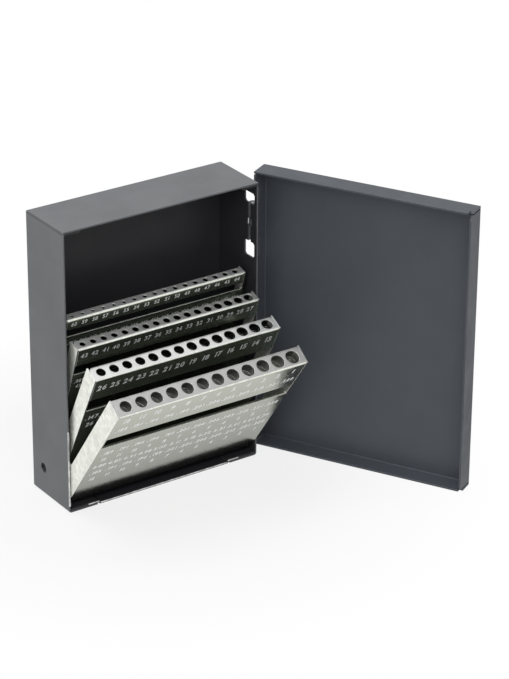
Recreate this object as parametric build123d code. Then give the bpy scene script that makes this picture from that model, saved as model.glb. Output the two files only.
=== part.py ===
"""Drill bit drawer case: a folded steel case with a side-hinged lid and four fanning leaves.

The frame's origin is the centre of the case's underside. X runs to the right along the
case's width, Y runs to its back and Z runs up. Lengths are in millimetres, angles in degrees.
Each leaf is drawn upright about the pivot line, then leaned forward to its open position.
"""
from build123d import *
import math
import os

# Case
CASE_WIDTH = 95.0
CASE_DEPTH = 29.0
CASE_HEIGHT = 128.0
CASE_SHEET = 0.8
BEND_RADIUS = 0.4
TOP_TAB_WIDTH = 8.0
FLOOR_TAB_WIDTH = 14.0
JOGGLE_RUN = 1.0
JOGGLE_GAP = 0.2

# Pivot line of the leaves
PIVOT_BEHIND_RIM = 20.5
PIVOT_HEIGHT = 12.5
DIMPLE_RADIUS = 2.2
DIMPLE_DEPTH = 1.0
PIVOT_CLEARANCE = 0.05

# Leaves
LEAF_SHEET = 0.6
LEAF_SIDE_GAP = 0.25
LEAF_NEST_GAP = 0.15
LEAF_STACK_GAP = 0.2
LEAF_RIM_SETBACK = 0.8
SEAM_GAP = 0.1
HEM_HEIGHT = 2.4
HOLE_CLEARANCE = 0.35
HOLE_END_MARGIN = 0.65
SHELF_LIP = 9.0
LOBE_WALL = 1.6
GUIDE_TAB = 2.0

# Flat sides of the small rounds that repeat
HOLE_SIDES = 14
GUIDE_HOLE_SIDES = 10
ROUND_SIDES = 16

# Lid and its hinges
LID_SHEET = 0.8
LID_DEPTH_AHEAD = 8.8
LID_CLEARANCE = 0.3
LID_OVERLAP = 1.0
LID_OPEN_ANGLE = 119.0
LID_CORNER_CUT = 3.0
CORNER_RELIEF = 0.6
LID_NOTCH_DEPTH = 4.2
LID_NOTCH_DROP = 3.0
PIN_RADIUS = 0.9
PIN_RUNNING_CLEARANCE = 0.06
PIN_HELD_CLEARANCE = 0.02
HINGE_AXIS_BEHIND_RIM = 5.2
HINGE_EDGE_DISTANCE = 19.5
HINGE_LENGTH = 17.5
LID_KNUCKLE_LENGTH = 2.6
KNUCKLE_GAP = 0.15
SHORT_SLOT_LENGTH = 4.9
LONG_SLOT_LENGTH = 6.9
SLOT_MARGIN = 1.9
SLOT_CORNER = 0.8

INCH = 25.4

# Wire gauge drill sizes in inches, number 1 first
GAUGE_INCHES = [
    .2280, .2210, .2130, .2090, .2055, .2040, .2010, .1990, .1960, .1935,
    .1910, .1890, .1850, .1820, .1800, .1770, .1730, .1695, .1660, .1610,
    .1590, .1570, .1540, .1520, .1495, .1470, .1440, .1405, .1360, .1285,
    .1200, .1160, .1130, .1110, .1100, .1065, .1040, .1015, .0995, .0980,
    .0960, .0935, .0890, .0860, .0820, .0810, .0785, .0760, .0730, .0700,
    .0670, .0635, .0595, .0550, .0520, .0465, .0430, .0420, .0410, .0400,
]


class Leaf:
    """One swinging leaf's own sizes; number 1 is the front leaf."""

    def __init__(self, number, first_gauge, last_gauge, lean, top, depth, header, window, shelf,
                 guide_drop, corner):
        self.number = number
        self.gauges = list(range(last_gauge, first_gauge - 1, -1))
        self.lean = lean
        self.top = top
        self.depth = depth
        self.header = header
        self.window = window
        self.shelf = shelf
        self.guide_drop = guide_drop
        self.corner = corner


LEAVES = [
    Leaf(1, 1, 12, 36.0, 74.0, 8.6, 18.0, 7.5, 4.0, 4.4, 0.9),
    Leaf(2, 13, 26, 26.5, 69.0, 7.3, 12.6, 7.1, 12.0, 3.8, 2.4),
    Leaf(3, 27, 43, 19.0, 69.5, 5.8, 9.0, 5.0, 26.0, 3.2, 2.4),
    Leaf(4, 44, 60, 14.5, 75.5, 4.8, 5.0, 3.5, 44.0, 2.4, 1.6),
]

RIM_Y = -CASE_DEPTH / 2
BACK_Y = CASE_DEPTH / 2
WALL_X = CASE_WIDTH / 2
PIVOT_Y = RIM_Y + PIVOT_BEHIND_RIM
KNUCKLE_RADIUS = PIN_RADIUS + PIN_RUNNING_CLEARANCE + CASE_SHEET
HINGE_X = WALL_X - CASE_SHEET + KNUCKLE_RADIUS
HINGE_Y = RIM_Y + HINGE_AXIS_BEHIND_RIM


# Folding helpers

def offset_corners(points, distance):
    """Corners of a path moved to its left by a distance, mitred at each corner."""
    moved = []
    for i, (x, y) in enumerate(points):
        before = points[max(i - 1, 0)]
        after = points[min(i + 1, len(points) - 1)]
        first = before if i > 0 else (x, y)
        last = after if i < len(points) - 1 else (x, y)
        a = math.atan2(y - first[1], x - first[0]) if i > 0 else math.atan2(after[1] - y, after[0] - x)
        b = math.atan2(last[1] - y, last[0] - x) if i < len(points) - 1 else a
        half = (b - a) / 2
        middle = a + half + math.pi / 2
        reach = distance / math.cos(half)
        moved.append((x + reach * math.cos(middle), y + reach * math.sin(middle)))
    return moved


def corner_radii(points, left_radius, right_radius):
    """Radius of each inner corner: one for left turns and one for right turns."""
    radii = []
    for (ax, ay), (bx, by), (cx, cy) in zip(points, points[1:], points[2:]):
        turn = (bx - ax) * (cy - by) - (by - ay) * (cx - bx)
        radii.append(left_radius if turn > 0 else right_radius)
    return radii


def folded_face(points, thickness, plane, bend=BEND_RADIUS):
    """Face of a folded sheet whose one side follows the points, with the metal to their left."""
    other = offset_corners(points, thickness)
    near = FilletPolyline(*points, radius=corner_radii(points, bend + thickness, bend))
    far = FilletPolyline(*other, radius=corner_radii(points, bend, bend + thickness))
    ends = [Line(points[0], other[0]), Line(points[-1], other[-1])]
    return plane * make_face(Curve() + [near, far] + ends)


def across(face, half_width):
    """A section in the YZ plane drawn out to both sides."""
    return extrude(face, amount=half_width, both=True)


def block(x0, x1, y0, y1, z0, z1):
    """A plain block between two corners."""
    size = Box(abs(x1 - x0), abs(y1 - y0), abs(z1 - z0))
    return Pos((x0 + x1) / 2, (y0 + y1) / 2, (z0 + z1) / 2) * size


def rod(radius, x0, x1, y=0.0, z=0.0):
    """A cylinder along X between two stations."""
    middle = (x0 + x1) / 2
    return Pos(middle, y, z) * Rot(0, 90, 0) * Cylinder(radius, abs(x1 - x0))


def post(radius, z0, z1, x=0.0, y=0.0):
    """A cylinder along Z between two levels."""
    return Pos(x, y, (z0 + z1) / 2) * Cylinder(radius, abs(z1 - z0))


def faceted_post(radius, z0, z1, x=0.0, y=0.0, sides=ROUND_SIDES, around=False):
    """A many-sided post along Z, inside its radius or, for a hollow, around it."""
    outline = RegularPolygon(radius, sides, major_radius=not around)
    return Pos(x, y, min(z0, z1)) * extrude(outline, amount=abs(z1 - z0))


def faceted_rod(radius, x0, x1, around=False):
    """A many-sided rod along X, inside its radius or, for a hollow, around it."""
    outline = RegularPolygon(radius, ROUND_SIDES, major_radius=not around)
    return extrude(Plane.YZ.offset(min(x0, x1)) * outline, amount=abs(x1 - x0))


# Nested sheets on the pivot line

def wall_face_x(index):
    """Outer face of the left wall of leaf 1, 2, 3 or 4, as a distance from the middle."""
    first = WALL_X - CASE_SHEET - LEAF_SIDE_GAP
    return first - (index - 1) * (LEAF_SHEET + LEAF_NEST_GAP)


def dimple_socket_radius(index):
    """Hollow of a leaf's dimple, which turns on the boss of the sheet outside it."""
    radius = DIMPLE_RADIUS + LEAF_SHEET + PIVOT_CLEARANCE
    return radius + (index - 1) * (LEAF_SHEET + PIVOT_CLEARANCE)


def add_case_dimple(wall, side):
    """Press the round cup that a leaf turns on inward through the case's wall."""
    face = side * WALL_X
    boss_end = face - side * (CASE_SHEET + DIMPLE_DEPTH)
    boss = rod(DIMPLE_RADIUS + LEAF_SHEET, face - side * CASE_SHEET / 2, boss_end, PIVOT_Y, PIVOT_HEIGHT)
    hollow = rod(DIMPLE_RADIUS, face + side * CASE_SHEET, face - side * DIMPLE_DEPTH, PIVOT_Y,
                 PIVOT_HEIGHT)
    return wall + boss - hollow


def add_leaf_dimples(tray, leaf):
    """Press a cup inward through both walls of a tray, turning on the sheet outside it."""
    outer = wall_face_x(leaf.number)
    socket = dimple_socket_radius(leaf.number)
    for side in (-1, 1):
        face = side * outer
        boss_end = face - side * (LEAF_SHEET + DIMPLE_DEPTH)
        boss = faceted_rod(socket + LEAF_SHEET, face - side * LEAF_SHEET / 2, boss_end)
        hollow = faceted_rod(socket, face + side * LEAF_SHEET, face - side * DIMPLE_DEPTH, around=True)
        tray = tray + boss - hollow
    return tray


# Case

def make_case_shell():
    """Top, back and joggled floor, folded from one sheet."""
    wrap_line = [(RIM_Y, CASE_HEIGHT), (BACK_Y, CASE_HEIGHT), (BACK_Y, CASE_SHEET)]
    section = folded_face(wrap_line[::-1], CASE_SHEET, Plane.YZ)
    shell = across(section, WALL_X)
    end_x = WALL_X - CASE_SHEET - BEND_RADIUS
    step_x = WALL_X - FLOOR_TAB_WIDTH - JOGGLE_GAP
    foot_x = step_x - JOGGLE_RUN
    floor_line = [(-end_x, CASE_SHEET), (-step_x, CASE_SHEET), (-foot_x, 0), (foot_x, 0),
                  (step_x, CASE_SHEET), (end_x, CASE_SHEET)]
    floor_section = folded_face(floor_line, CASE_SHEET, Plane.XZ, BEND_RADIUS / 2)
    floor = Pos(0, BACK_Y, 0) * extrude(floor_section, amount=CASE_DEPTH)
    heel = block(-foot_x, foot_x, BACK_Y - CASE_SHEET, BACK_Y, 0, 2 * CASE_SHEET)
    return shell + floor + heel


def side_blank(side):
    """A side wall with its tabs under the top and under the floor."""
    top = CASE_HEIGHT - CASE_SHEET
    line = [(-WALL_X + TOP_TAB_WIDTH, top), (-WALL_X, top), (-WALL_X, 0),
            (-WALL_X + FLOOR_TAB_WIDTH, 0)]
    section = folded_face(line, CASE_SHEET, Plane.XZ)
    depth = CASE_DEPTH - CASE_SHEET
    wall = Pos(0, BACK_Y - CASE_SHEET, 0) * extrude(section, amount=depth)
    bend_low = top - BEND_RADIUS
    bend_front = BACK_Y - CASE_SHEET - BEND_RADIUS
    wall = wall - block(-WALL_X, WALL_X, bend_front, BACK_Y, bend_low, CASE_HEIGHT)
    if side > 0:
        wall = mirror(wall, about=Plane.YZ)
    return add_case_dimple(wall, side)


def hinge_levels():
    """Middle level of each hinge and the side of it on which the long slot is."""
    return [(CASE_HEIGHT - HINGE_EDGE_DISTANCE, -1), (HINGE_EDGE_DISTANCE, 1)]


def slot_spans(middle, long_side):
    """Levels of the open slots below and above a hinge."""
    low = middle - HINGE_LENGTH / 2
    high = middle + HINGE_LENGTH / 2
    below = LONG_SLOT_LENGTH if long_side < 0 else SHORT_SLOT_LENGTH
    above = SHORT_SLOT_LENGTH if long_side < 0 else LONG_SLOT_LENGTH
    return [(low - below, low), (high, high + above)]


def make_case_side_right():
    """Right wall with pressed-out hinge knuckles between open slots."""
    wall = side_blank(1)
    inside = WALL_X - 2 * CASE_SHEET
    outside = WALL_X + CASE_SHEET
    bore = PIN_RADIUS + PIN_RUNNING_CLEARANCE
    for middle, long_side in hinge_levels():
        low = middle - HINGE_LENGTH / 2
        high = middle + HINGE_LENGTH / 2
        channel = faceted_post(bore, low - CASE_SHEET, high + CASE_SHEET, HINGE_X, HINGE_Y, around=True)
        groove = block(inside, HINGE_X, HINGE_Y - bore, HINGE_Y + bore, low, high)
        wall = wall + faceted_post(KNUCKLE_RADIUS, low, high, HINGE_X, HINGE_Y) - channel - groove
        # the lid's knuckle turns in a gap in the middle
        gap = LID_KNUCKLE_LENGTH / 2 + KNUCKLE_GAP
        reach = KNUCKLE_RADIUS + KNUCKLE_GAP
        wall = wall - block(inside, HINGE_X + reach, HINGE_Y - reach, HINGE_Y + reach,
                            middle - gap, middle + gap)
        for start, end in slot_spans(middle, long_side):
            slot_half = KNUCKLE_RADIUS + SLOT_MARGIN
            slot = block(inside, outside, HINGE_Y - slot_half, HINGE_Y + slot_half, start, end)
            wall = wall - chamfer(slot.edges().filter_by(Axis.X), SLOT_CORNER)
    return wall


def make_hinge_pin(middle):
    """A wire pin through one hinge, crimped in the lid's knuckle."""
    half = HINGE_LENGTH / 2 - KNUCKLE_GAP
    return faceted_post(PIN_RADIUS, middle - half, middle + half, HINGE_X, HINGE_Y)


# Lid, drawn closed

def make_lid():
    """Shallow pan with overlapping flanges and a rolled knuckle at each hinge."""
    past = LID_SHEET
    inner_y = RIM_Y - LID_DEPTH_AHEAD
    lap_y = RIM_Y + LID_OVERLAP
    free_x = -WALL_X - LID_CLEARANCE - LID_SHEET
    hinge_x = HINGE_X + KNUCKLE_RADIUS
    top = CASE_HEIGHT + LID_CLEARANCE + LID_SHEET
    pan = block(free_x, hinge_x, inner_y - LID_SHEET, lap_y, 0, top)
    pan = fillet(pan.faces().sort_by(Axis.Y)[0].edges(), BEND_RADIUS + LID_SHEET)
    hollow = block(free_x + LID_SHEET, hinge_x - LID_SHEET, inner_y, lap_y + past, LID_SHEET,
                   top - LID_SHEET)
    pan = pan - fillet(hollow.faces().sort_by(Axis.Y)[0].edges(), BEND_RADIUS)
    # the bottom flange stops just ahead of the rim, the hinge flange just ahead of the knuckles
    butt_y = RIM_Y - LID_CLEARANCE
    pan = pan - block(free_x + LID_SHEET, hinge_x + past, butt_y, lap_y + past, -past, LID_SHEET)
    hinge_cut_y = min(HINGE_Y - KNUCKLE_RADIUS - LID_CLEARANCE, lap_y)
    pan = pan - block(HINGE_X, hinge_x + past, hinge_cut_y, lap_y + past, -past, top - LID_SHEET)
    # corner reliefs between neighbouring flanges
    relief_y = inner_y + CORNER_RELIEF
    for z in (LID_SHEET, top - LID_SHEET - CORNER_RELIEF):
        for x0, x1 in ((free_x - past, free_x + LID_SHEET), (hinge_x - LID_SHEET, hinge_x + past)):
            pan = pan - block(x0, x1, relief_y, lap_y + past, z, z + CORNER_RELIEF)
    # the free corners of the flanges are clipped
    side = LID_CORNER_CUT * math.sqrt(2)
    for z in (0, top):
        pan = pan - Pos(free_x, lap_y, z) * Rot(45, 0, 0) * Box(4 * LID_SHEET, side, side)
    bore = PIN_RADIUS + PIN_HELD_CLEARANCE
    flange_x = hinge_x - LID_SHEET
    for middle, long_side in hinge_levels():
        # the hinge flange is notched beside the case's slots
        for start, end in slot_spans(middle, long_side):
            pan = pan - block(flange_x, hinge_x + past, hinge_cut_y - LID_NOTCH_DEPTH, lap_y + past,
                              start - LID_NOTCH_DROP, end - LID_SHEET)
        low = middle - LID_KNUCKLE_LENGTH / 2
        high = middle + LID_KNUCKLE_LENGTH / 2
        pan = pan + block(flange_x, hinge_x, hinge_cut_y - past, HINGE_Y, low, high)
        pan = pan + faceted_post(KNUCKLE_RADIUS, low, high, HINGE_X, HINGE_Y)
        pan = pan - faceted_post(bore, low - past, high + past, HINGE_X, HINGE_Y, around=True)
    return pan


def open_lid(shape):
    """Swing a shape drawn at the closed lid to its open place."""
    return Pos(HINGE_X, HINGE_Y, 0) * Rot(0, 0, LID_OPEN_ANGLE) * Pos(-HINGE_X, -HINGE_Y, 0) * shape


# Leaves, drawn upright with the pivot line at the origin and the front towards -Y

def front_y(leaf):
    """Front face of a leaf when all the leaves are stowed."""
    behind = LEAF_RIM_SETBACK
    for other in LEAVES[:leaf.number - 1]:
        behind += other.depth + LEAF_STACK_GAP
    return behind - PIVOT_BEHIND_RIM


def inner_half(leaf):
    """Half the width between a leaf's side walls."""
    return wall_face_x(leaf.number) - LEAF_SHEET


def hole_places(leaf):
    """X place and radius of each drill hole, the largest number at the left."""
    length = 2 * (inner_half(leaf) - SEAM_GAP)
    count = len(leaf.gauges)
    pitch = length / (count - 1 + 2 * HOLE_END_MARGIN)
    start = -length / 2 + HOLE_END_MARGIN * pitch
    places = []
    for i, gauge in enumerate(leaf.gauges):
        radius = (GAUGE_INCHES[gauge - 1] * INCH + HOLE_CLEARANCE) / 2
        places.append((start + i * pitch, radius))
    return places


def drill_holes(leaf, low, high, sides):
    """The drills' clearance holes between two levels: the last truly round, the rest many-sided."""
    middle = front_y(leaf) + leaf.depth / 2
    *repeated, (last_x, last_radius) = hole_places(leaf)
    holes = [faceted_post(radius, low, high, x, middle, sides, around=True) for x, radius in repeated]
    return holes + [post(last_radius, low, high, last_x, middle)]


def make_cap(leaf):
    """Top flange with the drill holes, number header in front and a short back plate."""
    front = front_y(leaf)
    back = front + leaf.depth
    foot = leaf.top - leaf.header
    line = [(back, foot + LEAF_SHEET), (back, leaf.top), (front, leaf.top), (front, foot)]
    half = inner_half(leaf) - SEAM_GAP
    cap = across(folded_face(line, LEAF_SHEET, Plane.YZ), half)
    cap = cap - drill_holes(leaf, leaf.top - 2 * LEAF_SHEET, leaf.top + LEAF_SHEET, HOLE_SIDES)
    corner = leaf.corner
    low = foot - LEAF_SHEET
    for side in (-1, 1):
        edge = side * half
        square = block(edge - side * corner, edge, back - corner, back, low, leaf.top)
        keep = faceted_post(corner, low, leaf.top, edge - side * corner, back - corner)
        cap = cap - (square - keep)
    return cap


def make_guide(leaf):
    """Second perforated strip under the flange, with end tabs turned down."""
    front = front_y(leaf) + LEAF_SHEET + SEAM_GAP
    back = front_y(leaf) + leaf.depth - LEAF_SHEET - SEAM_GAP
    level = leaf.top - LEAF_SHEET - leaf.guide_drop
    half = inner_half(leaf) - SEAM_GAP
    line = [(-half, level - GUIDE_TAB), (-half, level), (half, level), (half, level - GUIDE_TAB)]
    section = folded_face(line[::-1], LEAF_SHEET, Plane.XZ)
    strip = Pos(0, back, 0) * extrude(section, amount=back - front)
    return strip - drill_holes(leaf, level - 2 * LEAF_SHEET, level + LEAF_SHEET, GUIDE_HOLE_SIDES)


def side_outline(leaf):
    """Outline of a tray's side wall: a straight strip that runs down to the pivot lobe."""
    front = front_y(leaf)
    back = front + leaf.depth
    lobe = Circle(dimple_socket_radius(leaf.number) + LEAF_SHEET + LOBE_WALL)
    reach = lobe.radius
    if front >= -reach:
        strip = Polyline((front, 0), (front, leaf.top), (back, leaf.top), (back, 0), close=True)
        return make_face(strip) + lobe
    # the front leaf stands clear of the pivot, so a web carries it
    foot = leaf.shelf - LEAF_SHEET
    knee = leaf.shelf + 2 * leaf.depth
    toe = Pos(front + LEAF_SHEET, foot + LEAF_SHEET) * Circle(LEAF_SHEET)
    heel = Pos(back - LEAF_SHEET, knee) * Circle(LEAF_SHEET)
    web = make_hull(toe.edges() + heel.edges() + lobe.edges())
    strip = Polyline((front, foot + reach / 2), (front, leaf.top), (back, leaf.top), (back, knee),
                     close=True)
    return make_face(strip) + web


def make_tray(leaf):
    """Front pocket plate with a hemmed edge between two side walls that reach the pivot."""
    front = front_y(leaf)
    back = front + leaf.depth
    outer = wall_face_x(leaf.number)
    inner = outer - LEAF_SHEET
    foot = leaf.shelf - LEAF_SHEET
    hem_top = leaf.top - leaf.header - leaf.window
    wall = extrude(Plane.YZ * side_outline(leaf), amount=LEAF_SHEET)
    tray = Pos(-outer, 0, 0) * wall + Pos(inner, 0, 0) * wall
    hem_y = front + 2 * LEAF_SHEET + SEAM_GAP
    plate = block(-outer, outer, front, front + LEAF_SHEET, foot, hem_top)
    hem = block(-inner, inner, front, hem_y, hem_top - HEM_HEIGHT, hem_top)
    hem = fillet(hem.edges().filter_by(Axis.X).group_by(Axis.Z)[-1], LEAF_SHEET / 2)
    tray = tray + plate + hem
    return add_leaf_dimples(tray, leaf)


def make_shelf(leaf):
    """Folded strip that the drills stand on, with a back lip."""
    front = front_y(leaf) + LEAF_SHEET
    back = front_y(leaf) + leaf.depth
    foot = leaf.shelf - LEAF_SHEET
    line = [(front, foot), (back, foot), (back, leaf.shelf + SHELF_LIP)]
    return across(folded_face(line, LEAF_SHEET, Plane.YZ), inner_half(leaf) - SEAM_GAP)


def lean_leaf(leaf, shape):
    """Place an upright leaf on the pivot line at its open lean."""
    return Pos(0, PIVOT_Y, PIVOT_HEIGHT) * Rot(leaf.lean, 0, 0) * shape


def build_all():
    """Every sub-part of the case by name."""
    (upper, _), (lower, _) = hinge_levels()
    parts = {
        "case_shell": make_case_shell(),
        "case_side_left": side_blank(-1),
        "case_side_right": make_case_side_right(),
        "hinge_pin_upper": make_hinge_pin(upper),
        "hinge_pin_lower": make_hinge_pin(lower),
        "lid": open_lid(make_lid()),
    }
    for leaf in LEAVES:
        pieces = {"cap": make_cap, "guide": make_guide, "tray": make_tray, "shelf": make_shelf}
        for name, make in pieces.items():
            parts[f"leaf_{leaf.number}_{name}"] = lean_leaf(leaf, make(leaf))
    return parts


os.makedirs("parts", exist_ok=True)
for node, shape in build_all().items():
    export_step(shape, f"parts/{node}.step")
    print(node, len(shape.solids()), round(shape.volume, 2))
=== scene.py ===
"""Looks of the folded steel drill case: enamel, zinc leaves, stamped sizes and the studio.

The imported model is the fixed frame. Sizes below are in millimetres unless a name says
otherwise, and MM turns them into the frame's metres. X runs along the width, Y to the back
and Z up, as in the frame.
"""
from __future__ import annotations

import logging
import math
from dataclasses import dataclass
from enum import Enum

import bpy
import numpy as np
from mathutils import Matrix, Vector


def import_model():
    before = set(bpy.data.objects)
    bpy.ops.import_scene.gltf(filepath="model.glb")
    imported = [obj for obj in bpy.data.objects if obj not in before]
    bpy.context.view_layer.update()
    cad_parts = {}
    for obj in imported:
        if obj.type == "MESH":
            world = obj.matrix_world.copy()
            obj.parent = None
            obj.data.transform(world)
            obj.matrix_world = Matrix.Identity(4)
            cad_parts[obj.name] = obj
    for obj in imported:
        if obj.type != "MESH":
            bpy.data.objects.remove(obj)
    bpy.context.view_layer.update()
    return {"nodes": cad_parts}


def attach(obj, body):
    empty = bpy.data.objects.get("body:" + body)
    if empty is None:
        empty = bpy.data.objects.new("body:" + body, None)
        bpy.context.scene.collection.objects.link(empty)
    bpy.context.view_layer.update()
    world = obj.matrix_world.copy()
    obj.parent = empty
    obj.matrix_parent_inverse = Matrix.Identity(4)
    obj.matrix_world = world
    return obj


MM = 0.001
INCH = 25.4
LOG = logging.getLogger("drill_case")

Triple = tuple[float, float, float]
Colour = tuple[float, float, float, float]
Faces = list[tuple[int, ...]]

# Wire gauge drill sizes in inches, number 1 first
GAUGE_INCHES = (
    .2280, .2210, .2130, .2090, .2055, .2040, .2010, .1990, .1960, .1935,
    .1910, .1890, .1850, .1820, .1800, .1770, .1730, .1695, .1660, .1610,
    .1590, .1570, .1540, .1520, .1495, .1470, .1440, .1405, .1360, .1285,
    .1200, .1160, .1130, .1110, .1100, .1065, .1040, .1015, .0995, .0980,
    .0960, .0935, .0890, .0860, .0820, .0810, .0785, .0760, .0730, .0700,
    .0670, .0635, .0595, .0550, .0520, .0465, .0430, .0420, .0410, .0400,
)


# Shader graph helpers

class Value:
    """A node socket whose arithmetic adds Math nodes to its graph."""

    def __init__(self, graph: Graph, socket: bpy.types.NodeSocket | None) -> None:
        """Keep the socket and the graph it belongs to."""
        self.graph = graph
        self.socket = socket

    def __add__(self, other: Value | float) -> Value:
        """Sum."""
        return self.graph.calculate("ADD", self, other)

    def __radd__(self, other: Value | float) -> Value:
        """Sum with the number first."""
        return self.graph.calculate("ADD", other, self)

    def __sub__(self, other: Value | float) -> Value:
        """Difference."""
        return self.graph.calculate("SUBTRACT", self, other)

    def __rsub__(self, other: Value | float) -> Value:
        """Difference with the number first."""
        return self.graph.calculate("SUBTRACT", other, self)

    def __mul__(self, other: Value | float) -> Value:
        """Product."""
        return self.graph.calculate("MULTIPLY", self, other)

    def __rmul__(self, other: Value | float) -> Value:
        """Product with the number first."""
        return self.graph.calculate("MULTIPLY", other, self)

    def __gt__(self, other: Value | float) -> Value:
        """One where greater, else zero."""
        return self.graph.calculate("GREATER_THAN", self, other)

    def __lt__(self, other: Value | float) -> Value:
        """One where less, else zero."""
        return self.graph.calculate("LESS_THAN", self, other)

    def __abs__(self) -> Value:
        """Size without its sign."""
        return self.graph.calculate("ABSOLUTE", self)


class Graph:
    """Node tree of one material or world."""

    def __init__(self, owner: bpy.types.Material | bpy.types.World) -> None:
        """Start an empty tree on its owner."""
        owner.use_nodes = True
        self.tree = owner.node_tree
        self.tree.nodes.clear()

    def add(self, kind: str, settings: dict[str, object] | None = None,
            inputs: dict[str | int, object] | None = None, output: str | int = 0) -> Value:
        """Add any node.

        Args:
            kind: the node's type name.
            settings: attributes, such as a Math node's operation, which are set first.
            inputs: numbers, colours or Values by socket name or number.
            output: name or number of the socket that is returned.

        Returns:
            The chosen output socket as a Value.
        """
        node = self.tree.nodes.new(kind)
        for name, value in (settings or {}).items():
            setattr(node, name, value)
        for name, value in (inputs or {}).items():
            if isinstance(value, Value):
                self.tree.links.new(value.socket, node.inputs[name])
            else:
                node.inputs[name].default_value = value
        return Value(self, node.outputs[output] if node.outputs else None)

    def calculate(self, operation: str, *terms: Value | float) -> Value:
        """Add one Math node with its terms in order."""
        return self.add("ShaderNodeMath", {"operation": operation}, dict(enumerate(terms)))

    def dot(self, first: Value, second: Value | Triple) -> Value:
        """Dot product of two vectors."""
        return self.add("ShaderNodeVectorMath", {"operation": "DOT_PRODUCT"},
                        {0: first, 1: second}, output="Value")

    def place(self, scale: Triple = (1.0, 1.0, 1.0)) -> Value:
        """Object coordinates, scaled along each axis."""
        where = self.add("ShaderNodeTexCoord", output="Object")
        return self.add("ShaderNodeMapping", {"vector_type": "POINT"},
                        {"Vector": where, "Scale": scale})

    def axes(self) -> list[Value]:
        """X, Y and Z of the object coordinates, in metres."""
        where = self.place()
        return [self.add("ShaderNodeSeparateXYZ", None, {"Vector": where}, output=axis)
                for axis in "XYZ"]

    def noise(self, where: Value, scale: float, detail: float = 3.0, rough: float = 0.5) -> Value:
        """Fractal noise between 0 and 1; scale is in waves per metre."""
        return self.add("ShaderNodeTexNoise", None,
                        {"Vector": where, "Scale": scale, "Detail": detail, "Roughness": rough})

    def ramp(self, value: Value, low: float, high: float, start: float = 0.0,
             end: float = 1.0) -> Value:
        """Map low..high onto start..end, held at both ends."""
        return self.add("ShaderNodeMapRange", {"clamp": True},
                        {"Value": value, "From Min": low, "From Max": high, "To Min": start,
                         "To Max": end})

    def mix(self, factor: Value | float, first: object, second: object) -> Value:
        """Blend two colours by a factor."""
        return self.add("ShaderNodeMix", {"data_type": "RGBA"},
                        {"Factor": factor, 6: first, 7: second}, output=2)

    def soft_edges(self, radius: float) -> Value:
        """Normal rounded over the sheet's corners by a radius in metres."""
        return self.add("ShaderNodeBevel", {"samples": 6}, {"Radius": radius})

    def edge_mask(self, rounded: Value) -> Value:
        """One along sharp edges and zero on flats: how far the rounded normal turns."""
        true = self.add("ShaderNodeNewGeometry", output="True Normal")
        return self.ramp(self.dot(rounded, true), 0.97, 0.80)

    def bump(self, height: Value, strength: float, distance: float, normal: Value) -> Value:
        """Bump on top of a normal; distance is in metres."""
        return self.add("ShaderNodeBump", None,
                        {"Height": height, "Strength": strength, "Distance": distance,
                         "Normal": normal})

    def direct_sight(self) -> Value:
        """One for camera, glossy and transmission rays, zero for light that bounces diffusely."""
        camera, glossy, passing = (self.add("ShaderNodeLightPath", output=f"Is {kind} Ray")
                                   for kind in ("Camera", "Glossy", "Transmission"))
        return self.calculate("MAXIMUM", self.calculate("MAXIMUM", camera, glossy), passing)

    def surface(self, **sockets: object) -> None:
        """Finish with one Principled surface; underscores stand for spaces in socket names."""
        inputs = {name.replace("_", " "): value for name, value in sockets.items()}
        shader = self.add("ShaderNodeBsdfPrincipled", None, inputs)
        self.add("ShaderNodeOutputMaterial", None, {"Surface": shader})


# Finishes

def grey(level: float, tint: Triple = (1.0, 1.0, 1.0)) -> Colour:
    """A linear colour from one level and a tint."""
    return (level * tint[0], level * tint[1], level * tint[2], 1.0)


@dataclass(frozen=True)
class Hollow:
    """A box-shaped hollow whose walls get painted shade; bounds in millimetres.

    The side walls, to the depth of side_skin, get a deeper painted shade than its back.
    """

    half_width: float
    back: float
    low: float
    high: float
    level: float
    side_level: float = 0.006
    side_skin: float = 0.15
    tint: Triple = (1.0, 1.0, 1.12)

    def masks(self, graph: Graph) -> tuple[Value, Value]:
        """Ones inside the bounds, and on the two side walls there, from Object coordinates."""
        x, y, z = graph.axes()
        aside = abs(x)
        within = (aside < self.half_width * MM) * (y < self.back * MM)
        within = within * (z > self.low * MM) * (z < self.high * MM)
        return within, within * (aside > (self.half_width - self.side_skin) * MM)


@dataclass(frozen=True)
class RubbedRim:
    """The lower front edges of the case, bare steel with a bright painted highlight; sizes in
    millimetres.

    Attributes:
        front: Y that the highlighted edges lie ahead of.
        low: foot of the floor's cut edge.
        high: top of the floor's cut edge.
        joggle: X beyond which the floor steps up over its tabs.
        step: height of that step.
        half: half the floor's width.
        wall: X beyond which an edge belongs to the left wall.
        wall_low: foot of the highlighted stretch of the left wall.
        wall_high: top of the highlighted stretch of the left wall.
    """

    front: float
    low: float
    high: float
    joggle: float
    step: float
    half: float
    wall: float
    wall_low: float
    wall_high: float

    def mask(self, graph: Graph) -> Value:
        """One on the floor's cut edge, which steps up over its tabs, and up the left wall's."""
        x, y, z = graph.axes()
        aside = abs(x)
        level = z - (aside > self.joggle * MM) * (self.step * MM)
        floor = (aside < self.half * MM) * (level > self.low * MM) * (level < self.high * MM)
        wall = (x < self.wall * MM) * (z > self.wall_low * MM) * (z < self.wall_high * MM)
        return (y < self.front * MM) * (floor + wall)


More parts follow.
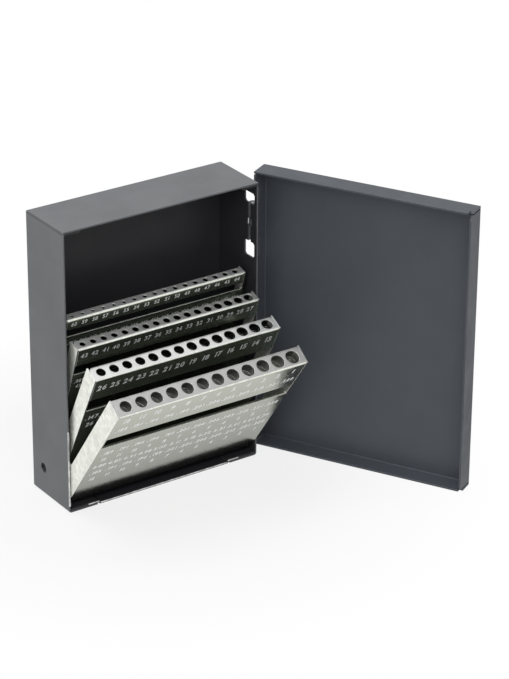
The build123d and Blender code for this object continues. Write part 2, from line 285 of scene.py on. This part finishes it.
@dataclass(frozen=True)
class LeafSkin:
    """Where a leaf's plate gets a painted reflection on its front, painted light and shade on its
    flange and painted shade inside; sizes in millimetres.

    Attributes:
        lean: the leaf's lean in degrees.
        front: depth of its front plane from the pivot.
        top: height of its flange over the pivot.
        half: half its width.
        pivot: Y and Z of the pivot line.
        film_level: tone of the painted reflection on the front at the top.
        flange_level: tone of the flange's face, painted light and shade set leaf by leaf.
        inner_level: tone of the painted shade inside the leaf.
        tint: colour of the painted reflection and of the painted shade inside.
        metal: how metallic the front is.
        foot: tone of the front at the foot as a share of the tone at the top, a painted shade.
        share: how much of the zinc the painted reflection covers.
        front_skin: thickness that counts as the front face.
        flange_skin: thickness that counts as the flange's face.
        inner_skin: distance from the outer faces at which the inside starts.
    """

    lean: float
    front: float
    top: float
    half: float
    pivot: tuple[float, float]
    film_level: float
    flange_level: float
    inner_level: float
    tint: Triple
    metal: float
    foot: float
    share: float = 0.90
    front_skin: float = 0.08
    flange_skin: float = 0.12
    inner_skin: float = 0.45

    def upright(self, graph: Graph) -> tuple[Value, Value, Value]:
        """Object coordinates turned back by the lean about the pivot: across, depth, height."""
        a = math.radians(self.lean)
        x, y, z = graph.axes()
        y, z = y - self.pivot[0] * MM, z - self.pivot[1] * MM
        return (abs(x), y * math.cos(a) + z * math.sin(a), z * math.cos(a) - y * math.sin(a))

    def masks(self, graph: Graph) -> tuple[Value, Value, Value, Value]:
        """Split the skin by its planes.

        Returns:
            The share of painted reflection on the front plane, ones on the flange's face and
            inside, and how far down the plate a point is, from nought at the top to one at the
            foot.
        """
        across, depth, height = self.upright(graph)
        front = (depth < (self.front + self.front_skin) * MM) * self.share
        flange = height > (self.top - self.flange_skin) * MM
        inside = ((depth > (self.front + self.inner_skin) * MM)
                  * (height < (self.top - self.inner_skin) * MM)
                  * (across < (self.half - self.inner_skin) * MM))
        return front, flange, inside, graph.ramp(height, self.top * MM, 0.0)


@dataclass(frozen=True)
class BakedEnamel:
    """Semi-gloss grey enamel on steel sheet, lightened towards bare metal along its cut edges,
    partly by real scuffs and partly as a painted highlight.
    """

    name: str
    level: float
    tint: Triple
    roughness: float
    wear: float = 0.6
    inner: Hollow | None = None
    rim: RubbedRim | None = None
    shades: tuple[float, float] = (0.94, 1.06)
    edge_radius: float = 0.22

    def build(self) -> bpy.types.Material:
        """Mottle the grey slowly, pit it finely and lighten the rounded edges, partly as scuffs and
        partly as a painted highlight.

        Returns:
            The material; with an inner hollow, the walls around it get its painted shade.
        """
        material = bpy.data.materials.new(self.name)
        graph = Graph(material)
        where = graph.place()
        cloud = graph.noise(where, scale=28.0, detail=4.0)
        peel = graph.noise(where, scale=1500.0, detail=2.0)
        speck = graph.noise(where, scale=620.0, detail=2.0, rough=0.7)
        dark, light = (grey(self.level * shade, self.tint) for shade in self.shades)
        paint = graph.mix(graph.ramp(cloud, 0.35, 0.65), dark, light)
        # Painted shade inside the case: its inner walls are darkened, the side walls most.
        if self.inner:
            within, aside = self.inner.masks(graph)
            paint = graph.mix(within, paint, grey(self.inner.level, self.inner.tint))
            paint = graph.mix(aside, paint, grey(self.inner.side_level, self.inner.tint))
        dust = graph.ramp(speck, 0.70, 0.76) * 0.35
        paint = graph.mix(dust, paint, grey(self.level * 0.35, self.tint))
        rounded = graph.soft_edges(self.edge_radius * MM)
        edge = graph.edge_mask(rounded)
        chips = graph.ramp(graph.noise(where, scale=340.0, detail=4.0, rough=0.65), 0.42, 0.60)
        # Edges lightened towards bare steel in chipped patches: partly real scuffs, partly a
        # painted highlight.
        worn_and_highlit = edge * (chips * 0.75 + 0.25) * self.wear
        bare = grey(0.36, (1.0, 1.0, 0.99))
        # Painted highlight: the lower front cut edges and a stretch of the left wall's edge turn to
        # bright steel.
        if self.rim:
            rubbed_and_highlit = self.rim.mask(graph)
            worn_and_highlit = worn_and_highlit * (1.0 - rubbed_and_highlit) + rubbed_and_highlit * (chips * 0.4 + 0.6)
            rim_highlight_grey = grey(0.85)
            bare = graph.mix(rubbed_and_highlit, bare, rim_highlight_grey)
        colour = graph.mix(worn_and_highlit, paint, bare)
        handled = graph.noise(where, scale=90.0)
        rough = graph.ramp(handled, 0.3, 0.7, start=self.roughness - 0.05,
                           end=self.roughness + 0.07)
        normal = graph.bump(peel, strength=0.10, distance=0.00004, normal=rounded)
        graph.surface(Base_Color=colour, Roughness=rough, Metallic=worn_and_highlit * 0.6, Normal=normal,
                      Specular_IOR_Level=0.25)
        return material


@dataclass(frozen=True)
class BrightZinc:
    """Bright zinc plate over rolled steel: faint spangle, rolling lines and handling marks."""

    name: str
    level: float
    roughness: float
    tint: Triple = (0.985, 1.0, 0.92)
    metal: float = 1.0
    film_roughness: float = 0.13
    skin: LeafSkin | None = None
    shades: tuple[float, float] = (0.86, 1.10)
    edge_radius: float = 0.26

    def build(self) -> bpy.types.Material:
        """Mix cells of slightly different tone with long rolling lines along the width.

        Returns:
            The material; with a skin, the leaf's front gets a painted reflection, its flange
            painted light and shade and its inside painted shade.
        """
        material = bpy.data.materials.new(self.name)
        graph = Graph(material)
        where = graph.place()
        along = graph.place(scale=(0.06, 1.0, 1.0))
        cell = graph.add("ShaderNodeTexVoronoi", {"feature": "F1"},
                         {"Vector": where, "Scale": 560.0, "Randomness": 1.0}, output="Color")
        spangle = graph.add("ShaderNodeRGBToBW", None, {"Color": cell})
        lines = graph.noise(along, scale=2600.0, rough=0.6)
        cloud = graph.noise(where, scale=120.0, detail=4.0, rough=0.6)
        tone = spangle * 0.35 + lines * 0.25 + cloud * 0.40
        dark, light = (grey(self.level * shade, self.tint) for shade in self.shades)
        colour = graph.mix(graph.ramp(tone, 0.34, 0.66), dark, light)
        blots = graph.noise(where, scale=420.0, detail=4.0, rough=0.7)
        stain = graph.ramp(blots, 0.58, 0.74) * 0.35
        colour = graph.mix(stain, colour, grey(self.level * 0.55, (1.0, 0.98, 0.90)))
        rounded = graph.soft_edges(self.edge_radius * MM)
        edge = graph.edge_mask(rounded)
        rough = graph.ramp(tone, 0.3, 0.7, start=self.roughness - 0.04,
                           end=self.roughness + 0.05)
        metal = self.metal
        if self.skin:
            # The skin paints a reflection on the front, darker towards its foot, light and shade on
            # the flange and shade inside the leaf.
            front, flange, inside, down = self.skin.masks(graph)
            colour = graph.mix(inside, colour, grey(self.skin.inner_level, self.skin.tint))
            colour = graph.mix(flange * 0.85, colour, grey(self.skin.flange_level))
            front_reflection = graph.mix(down, grey(self.skin.film_level, self.skin.tint),
                             grey(self.skin.film_level * self.skin.foot, self.skin.tint))
            colour = graph.mix(front, colour, front_reflection)
            rough = rough - front * (self.roughness - self.film_roughness)
            metal = front * (self.skin.metal - self.metal) + self.metal
        # Painted highlight along the edges and hole rims.
        colour = graph.mix(edge * 0.8, colour, grey(0.95))
        relief = lines * 0.5 + cloud * 0.5
        normal = graph.bump(relief, strength=0.10, distance=0.00002, normal=rounded)
        graph.surface(Base_Color=colour, Roughness=rough, Metallic=metal, Normal=normal)
        return material


@dataclass(frozen=True)
class DrawnWire:
    """Drawn steel wire of the hinge pins."""

    name: str = "drawn_wire"
    edge_radius: float = 0.15

    def build(self) -> bpy.types.Material:
        """Fine lines along the pin over a darker skin."""
        material = bpy.data.materials.new(self.name)
        graph = Graph(material)
        lines = graph.noise(graph.place(scale=(1.0, 1.0, 0.05)), scale=5000.0)
        colour = graph.mix(graph.ramp(lines, 0.3, 0.7), grey(0.28), grey(0.46))
        rounded = graph.soft_edges(self.edge_radius * MM)
        normal = graph.bump(lines, strength=0.2, distance=0.00002, normal=rounded)
        graph.surface(Base_Color=colour, Roughness=0.34, Metallic=1.0, Normal=normal)
        return material


@dataclass(frozen=True)
class StampedStroke:
    """Sharp raised strokes of the stamped sizes, near white on top as a painted highlight and with
    painted shade on the bevels under their edges.
    """

    name: str
    level: float
    metal: float
    lean: float

    def build(self) -> bpy.types.Material:
        """Paint shade on the bevels that face down and right in the plane of the leaned plate.

        Returns:
            The material: its shade is the share of each bevel's normal along that direction.
        """
        material = bpy.data.materials.new(self.name)
        graph = Graph(material)
        a = math.radians(self.lean)
        right, down = 0.6, 0.8
        true = graph.add("ShaderNodeNewGeometry", output="True Normal")
        under = graph.dot(true, (right, down * math.sin(a), -down * math.cos(a)))
        rubbed_and_highlit = graph.ramp(graph.noise(graph.place(), scale=700.0), 0.35, 0.65)
        # Painted highlight: the strokes are near white, brighter than the zinc they are stamped in.
        colour = graph.mix(rubbed_and_highlit, grey(self.level * 0.85), grey(self.level))
        # Painted shade on the bevels that face down and right.
        colour = graph.mix(graph.ramp(under, 0.12, 0.26), colour, grey(0.03))
        graph.surface(Base_Color=colour, Roughness=0.34, Metallic=self.metal)
        return material


@dataclass(frozen=True)
class PaleFloor:
    """White studio sweep that shows white to the camera and keeps the object's shadow."""

    name: str = "pale_floor"
    level: float = 0.80

    def build(self) -> bpy.types.Material:
        """Diffuse sweep that camera and gloss see whitened, fully so away from the shadow.

        Returns:
            The material: white grows with the distance from the case, from 0.8 to one.
        """
        material = bpy.data.materials.new(self.name)
        graph = Graph(material)
        where = graph.place()
        cloud = graph.noise(where, scale=6.0, detail=2.0)
        colour = graph.mix(cloud, grey(self.level * 0.985), grey(self.level))
        shade = graph.add("ShaderNodeBsdfDiffuse", None, {"Color": colour})
        white = graph.add("ShaderNodeEmission", None, {"Color": grey(1.0), "Strength": 1.0})
        away = graph.add("ShaderNodeVectorMath", {"operation": "LENGTH"}, {0: where},
                         output="Value")
        share = graph.ramp(away, 0.075, 0.15, start=0.80)
        factor = share * graph.direct_sight()
        surface = graph.add("ShaderNodeMixShader", None, {0: factor, 1: shade, 2: white})
        graph.add("ShaderNodeOutputMaterial", None, {"Surface": surface})
        return material


# Pieces worked out on the leaves

class SizeRow(Enum):
    """What a row of stamps gives for each drill."""

    GAUGE = "gauge number"
    INCH = "inches"
    METRIC = "millimetres"

    def text(self, gauge: int) -> str:
        """The stamp for one gauge number."""
        inches = GAUGE_INCHES[gauge - 1]
        texts = {SizeRow.GAUGE: str(gauge), SizeRow.INCH: f"{inches:.3f}".lstrip("0"),
                 SizeRow.METRIC: f"{inches * INCH:.2f}"}
        return texts[self]


class DigitStamps:
    """Meshes of the ten digits and the point, laid out into numbers.

    TALL is the height of a digit, GAP the space after it and OFFSET what its strokes grow
    by, all in the font's units.
    """

    TALL = 0.72
    GAP = 0.09
    OFFSET = -0.015

    def __init__(self, bevel: float, flat: float) -> None:
        """Make each glyph once; flat is the share of its depth that is kept."""
        self.bevel = bevel
        self.flat = flat
        self.glyphs = {sign: self._glyph(sign) for sign in "0123456789."}

    def _glyph(self, sign: str) -> tuple[np.ndarray, Faces, float]:
        """One sign as corner points, faces and its advance."""
        curve = bpy.data.curves.new("stamp", "FONT")
        curve.body = sign
        curve.resolution_u = 2
        curve.offset = self.OFFSET
        curve.bevel_depth = self.bevel
        curve.bevel_resolution = 0
        obj = bpy.data.objects.new("stamp", curve)
        bpy.context.scene.collection.objects.link(obj)
        depsgraph = bpy.context.evaluated_depsgraph_get()
        depsgraph.update()
        mesh = bpy.data.meshes.new_from_object(obj.evaluated_get(depsgraph))
        points = np.empty(len(mesh.vertices) * 3)
        mesh.vertices.foreach_get("co", points)
        points = points.reshape(-1, 3) * (1.0, 1.0, self.flat)
        faces = [tuple(p.vertices) for p in mesh.polygons]
        bpy.data.objects.remove(obj)
        bpy.data.curves.remove(curve)
        bpy.data.meshes.remove(mesh)
        return points, faces, float(points[:, 0].max())

    def number(self, text: str, height: float, place: tuple[float, float],
               slant: float = 0.12) -> tuple[np.ndarray, Faces]:
        """Lay one number out in its plane.

        Args:
            text: digits and points.
            height: height of a digit.
            place: middle of the number in its plane.
            slant: sideways lean of the strokes over their height.

        Returns:
            Corner points and faces, with the plane's normal as the third coordinate.
        """
        scale = height / self.TALL
        points, faces, pen, count = [], [], 0.0, 0
        for sign in text:
            glyph, polygons, advance = self.glyphs[sign]
            points.append(glyph + (pen, 0.0, 0.0))
            faces.extend(tuple(i + count for i in polygon) for polygon in polygons)
            count += len(glyph)
            pen += advance + self.GAP
        laid = np.vstack(points)
        laid[:, 0] += slant * laid[:, 1] - pen / 2
        laid[:, 1] -= self.TALL / 2
        laid *= scale
        laid[:, 0] += place[0]
        laid[:, 1] += place[1]
        return laid, faces


@dataclass
class SwingingLeaf:
    """One leaf: its nodes' finishes and the sizes stamped on its front.

    Attributes:
        number: the leaf's number, 1 at the front.
        first_gauge: gauge number of its largest drill.
        last_gauge: gauge number of its smallest drill.
        lean: its lean in degrees.
        top: height of its flange over the pivot.
        front: depth of its front plane from the pivot.
        header: height of the header.
        window: height of the opening under the header.
        half: half its width.
        digit: height of a gauge number's digits.
        film_level: tone of the painted reflection on the front at the top.
        flange_level: tone of the flange's face, painted light and shade set leaf by leaf.
        inner_level: tone of the painted shade inside the leaf.
        stroke_level: tone of the painted highlight on the stamped strokes.
        header_rows: rows stamped on the header, with their drop as a share of its height.
        plate_rows: rows stamped on the pocket plate, with their drop from its hem.
        tint: colour of the painted reflection on the front and of the painted shade inside.
        metal: how metallic the front is.
        foot: tone of the front at the foot as a share of the tone at the top, a painted shade.
        stroke_metal: how metallic the stamped strokes are.
        end_margin: space beyond the end holes in pitches.
        small: height of the digits of all rows but the header's gauge numbers, as a share.
        pivot: Y and Z of the pivot line.
    """

    number: int
    first_gauge: int
    last_gauge: int
    lean: float
    top: float
    front: float
    header: float
    window: float
    half: float
    digit: float
    film_level: float
    flange_level: float
    inner_level: float
    stroke_level: float
    header_rows: tuple[tuple[SizeRow, float], ...]
    plate_rows: tuple[tuple[SizeRow, float], ...]
    tint: Triple = (0.80, 1.0, 0.66)
    metal: float = 0.75
    foot: float = 0.8
    stroke_metal: float = 0.1
    end_margin: float = 0.65
    small: float = 0.8
    pivot: tuple[float, float] = (6.0, 12.5)

    @property
    def body(self) -> str:
        """Name of the moving body."""
        return f"leaf_{self.number}"

    def stations(self) -> list[tuple[int, float]]:
        """Gauge number and X place of each hole, the largest number at the left."""
        gauges = list(range(self.last_gauge, self.first_gauge - 1, -1))
        pitch = 2 * self.half / (len(gauges) - 1 + 2 * self.end_margin)
        start = -self.half + self.end_margin * pitch
        return [(gauge, start + i * pitch) for i, gauge in enumerate(gauges)]

    def skin(self) -> LeafSkin:
        """The painted reflection, light and shade of this leaf's plate."""
        return LeafSkin(lean=self.lean, front=self.front, top=self.top, half=self.half,
                        pivot=self.pivot, film_level=self.film_level,
                        flange_level=self.flange_level, inner_level=self.inner_level,
                        tint=self.tint, metal=self.metal, foot=self.foot)

    def lean_matrix(self) -> Matrix:
        """Turn about the pivot line and move onto it, in metres."""
        y, z = self.pivot
        shift = Matrix.Translation(Vector((0.0, y * MM, z * MM)))
        return shift @ Matrix.Rotation(math.radians(self.lean), 4, "X")

    def stamp(self, stamps: DigitStamps) -> list[tuple[np.ndarray, Faces]]:
        """All numbers on the header and the pocket plate, in the leaf's front plane."""
        hem = self.top - self.header - self.window
        laid = []
        for gauge, x in self.stations():
            for row, share in self.header_rows:
                size = self.digit if row is SizeRow.GAUGE else self.digit * self.small
                place = (x, self.top - self.header * share)
                laid.append(stamps.number(row.text(gauge), size, place))
            for row, drop in self.plate_rows:
                size = self.digit * self.small
                laid.append(stamps.number(row.text(gauge), size, (x, hem - drop)))
        return laid

    def make_stamps(self, stamps: DigitStamps, finish: bpy.types.Material) -> bpy.types.Object:
        """Join the leaf's numbers into one mesh on its front face."""
        points, faces, count = [], [], 0
        for laid, polygons in self.stamp(stamps):
            points.append(laid)
            faces.extend(tuple(i + count for i in polygon) for polygon in polygons)
            count += len(laid)
        flat = np.vstack(points)
        upright = np.column_stack((flat[:, 0], self.front - flat[:, 2], flat[:, 1])) * MM
        turn = np.array(self.lean_matrix())
        placed = upright @ turn[:3, :3].T + turn[:3, 3]
        mesh = bpy.data.meshes.new(f"leaf_{self.number}_sizes")
        mesh.from_pydata(placed.tolist(), [], faces)
        mesh.update()
        mesh.materials.append(finish)
        obj = bpy.data.objects.new(mesh.name, mesh)
        bpy.context.scene.collection.objects.link(obj)
        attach(obj, self.body)
        LOG.info("leaf %d carries %d stamped faces", self.number, len(faces))
        return obj


class CaseMaker:
    """Dresses the fixed nodes."""

    def __init__(self, nodes: dict[str, bpy.types.Object]) -> None:
        """Build each finish once."""
        self.nodes = nodes
        # Painted shade inside the case, deepest on its side walls.
        hollow = Hollow(half_width=46.95, back=13.9, low=0.5, high=127.4, level=0.032)
        # Where the painted highlight runs along the case's lower front edges.
        rim = RubbedRim(front=-14.40, low=0.28, high=0.83, joggle=32.0, step=0.8, half=38.0,
                        wall=-46.0, wall_low=3.0, wall_high=38.0)
        self.case_paint = BakedEnamel("case_enamel", level=0.154, tint=(0.96, 1.0, 1.06),
                                      roughness=0.42, inner=hollow, rim=rim).build()
        self.lid_paint = BakedEnamel("lid_enamel", level=0.088, tint=(0.90, 1.0, 1.17),
                                     roughness=0.44).build()
        # Painted shade: zinc of the guides and shelves darkened, deepest in leaves 2 to 4.
        self.dull_zinc = BrightZinc("dull_zinc", level=0.20, roughness=0.45).build()
        self.dark_zinc = BrightZinc("dark_zinc", level=0.03, roughness=0.55).build()
        self.wire = DrawnWire().build()

    def dress(self, name: str, finish: bpy.types.Material) -> None:
        """Put one finish on a node."""
        data = self.nodes[name].data
        data.materials.clear()
        data.materials.append(finish)
        LOG.info("%s wears %s", name, finish.name)

    def dress_case(self) -> None:
        """Give the case, the lid and the pins their finishes."""
        for name in self.nodes:
            if name.startswith("case"):
                self.dress(name, self.case_paint)
            elif name == "lid":
                self.dress(name, self.lid_paint)
            elif name.startswith("hinge_pin"):
                self.dress(name, self.wire)

    def dress_leaf(self, leaf: SwingingLeaf) -> None:
        """Give one leaf's tray and cap bright zinc, and its guide and shelf zinc darkened with
        painted shade.
        """
        zinc = BrightZinc(f"{leaf.body}_zinc", level=0.92, roughness=0.34, metal=0.72,
                          skin=leaf.skin()).build()
        for part in ("tray", "cap"):
            self.dress(f"{leaf.body}_{part}", zinc)
        hidden = self.dull_zinc if leaf.number == 1 else self.dark_zinc
        for part in ("guide", "shelf"):
            self.dress(f"{leaf.body}_{part}", hidden)


# Studio

@dataclass(frozen=True)
class PhotoCamera:
    """The photograph's viewpoint; angles in degrees, pixels in its 509 by 679 frame."""

    azimuth: float = -34.6
    elevation: float = 25.6
    roll: float = 0.4
    focal_px: float = 2900.0
    distance: float = 1236.0
    aim: Triple = (47.5, -14.5, 64.0)
    aim_px: tuple[float, float] = (257.3, 321.5)
    width_px: int = 509
    height_px: int = 679
    sensor: float = 36.0

    def build(self) -> bpy.types.Object:
        """Set the camera from its angles; the long side of the frame spans the sensor."""
        a, e, r = (math.radians(v) for v in (self.azimuth, self.elevation, self.roll))
        back = Vector((math.sin(a) * math.cos(e), -math.cos(a) * math.cos(e), math.sin(e)))
        right = Vector((0.0, 0.0, 1.0)).cross(back).normalized()
        up = back.cross(right)
        right, up = (right * math.cos(r) + up * math.sin(r), up * math.cos(r) - right * math.sin(r))
        across = (self.aim_px[0] - self.width_px / 2) / self.focal_px * self.distance
        above = (self.height_px / 2 - self.aim_px[1]) / self.focal_px * self.distance
        place = Vector(self.aim) - right * across - up * above + back * self.distance
        data = bpy.data.cameras.new("photo_camera")
        data.sensor_width = self.sensor
        data.lens = self.focal_px * self.sensor / self.height_px
        data.clip_start = 0.01
        camera = bpy.data.objects.new("photo_camera", data)
        matrix = Matrix((right, up, back)).transposed().to_4x4()
        matrix.translation = place * MM
        camera.matrix_world = matrix
        bpy.context.scene.collection.objects.link(camera)
        bpy.context.scene.camera = camera
        return camera


@dataclass(frozen=True)
class SoftBox:
    """One area lamp aimed at the case; lengths in metres, power in watts."""

    name: str
    place: Triple
    size: float
    power: float
    target: Triple = (0.02, -0.02, 0.06)

    def build(self) -> bpy.types.Object:
        """Make the lamp and turn it to its target."""
        data = bpy.data.lights.new(self.name, "AREA")
        data.shape = "SQUARE"
        data.size = self.size
        data.energy = self.power
        lamp = bpy.data.objects.new(self.name, data)
        lamp.location = self.place
        look = Vector(self.target) - Vector(self.place)
        lamp.rotation_euler = look.to_track_quat("-Z", "Y").to_euler()
        bpy.context.scene.collection.objects.link(lamp)
        return lamp


class Studio:
    """Pale floor, white surroundings and soft lamps."""

    def __init__(self) -> None:
        """List the lamps and the strength of the surroundings as light."""
        self.ambient = 0.25
        self.lamps = (
            SoftBox("overhead_box", place=(-0.30, 0.25, 1.60), size=1.20, power=15.0),
            SoftBox("left_box", place=(-1.50, -0.90, 0.90), size=0.90, power=5.5),
            SoftBox("high_front_box", place=(-0.60, -1.30, 1.30), size=0.80, power=8.0),
        )

    def build(self) -> None:
        """Lay the floor, light the world and hang the lamps."""
        self._floor()
        self._world()
        for lamp in self.lamps:
            lamp.build()

    def _floor(self) -> None:
        """A wide flat sweep under the case, its reach in metres."""
        reach = 6.0
        corners = [(-reach, -reach, 0.0), (reach, -reach, 0.0), (reach, reach, 0.0),
                   (-reach, reach, 0.0)]
        mesh = bpy.data.meshes.new("studio_floor")
        mesh.from_pydata(corners, [], [(0, 1, 2, 3)])
        mesh.materials.append(PaleFloor().build())
        floor = bpy.data.objects.new("studio_floor", mesh)
        bpy.context.scene.collection.objects.link(floor)

    def _world(self) -> None:
        """White to the camera and to gloss, soft grey as light."""
        world = bpy.data.worlds.new("studio_world")
        bpy.context.scene.world = world
        graph = Graph(world)
        strength = graph.ramp(graph.direct_sight(), 0.0, 1.0, self.ambient, 1.0)
        shader = graph.add("ShaderNodeBackground", None,
                           {"Color": grey(1.0), "Strength": strength})
        graph.add("ShaderNodeOutputWorld", None, {"Surface": shader})


def leaves() -> list[SwingingLeaf]:
    """The four leaves, the front one first."""
    gauge, inch, metric = SizeRow.GAUGE, SizeRow.INCH, SizeRow.METRIC
    return [
        SwingingLeaf(
            number=1, first_gauge=1, last_gauge=12, lean=36.0, top=74.0, front=-19.7,
            header=18.0, window=7.5, half=45.75, digit=2.9, film_level=0.48,
            flange_level=0.42, inner_level=0.22, stroke_level=1.0,
            header_rows=((gauge, 0.27), (inch, 0.66)),
            plate_rows=((inch, 5.5), (gauge, 11.0), (metric, 16.5), (inch, 22.0),
                        (gauge, 27.5)),
            tint=(0.97, 1.0, 0.85), metal=1.0, foot=0.30, stroke_metal=0.65),
        SwingingLeaf(
            number=2, first_gauge=13, last_gauge=26, lean=26.5, top=69.0, front=-10.9,
            header=12.6, window=7.1, half=45.0, digit=3.0, film_level=0.15,
            flange_level=0.76, inner_level=0.03, stroke_level=1.0,
            header_rows=((gauge, 0.45),), plate_rows=((inch, 5.0), (gauge, 9.5))),
        SwingingLeaf(
            number=3, first_gauge=27, last_gauge=43, lean=19.0, top=69.5, front=-3.4,
            header=9.0, window=5.0, half=44.25, digit=2.2, film_level=0.14,
            flange_level=0.60, inner_level=0.02, stroke_level=0.85,
            header_rows=((gauge, 0.45),), plate_rows=((inch, 4.0), (gauge, 7.0))),
        SwingingLeaf(
            number=4, first_gauge=44, last_gauge=60, lean=14.5, top=75.5, front=2.6,
            header=5.0, window=3.5, half=43.5, digit=1.8, film_level=0.14,
            flange_level=0.95, inner_level=0.02, stroke_level=0.85,
            header_rows=((gauge, 0.5),), plate_rows=((inch, 3.5),)),
    ]


def main() -> None:
    """Build the camera, dress the frame, stamp the leaves and light the studio."""
    logging.basicConfig(level=logging.INFO, format="%(name)s: %(message)s")
    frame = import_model()
    bpy.context.scene.view_settings.view_transform = "Standard"
    PhotoCamera().build()
    maker = CaseMaker(frame["nodes"])
    maker.dress_case()
    stamps = DigitStamps(bevel=0.045, flat=0.4)
    for leaf in leaves():
        maker.dress_leaf(leaf)
        finish = StampedStroke(f"{leaf.body}_stroke", leaf.stroke_level, leaf.stroke_metal,
                               leaf.lean).build()
        leaf.make_stamps(stamps, finish)
    Studio().build()


if __name__ == "__main__":
    main()
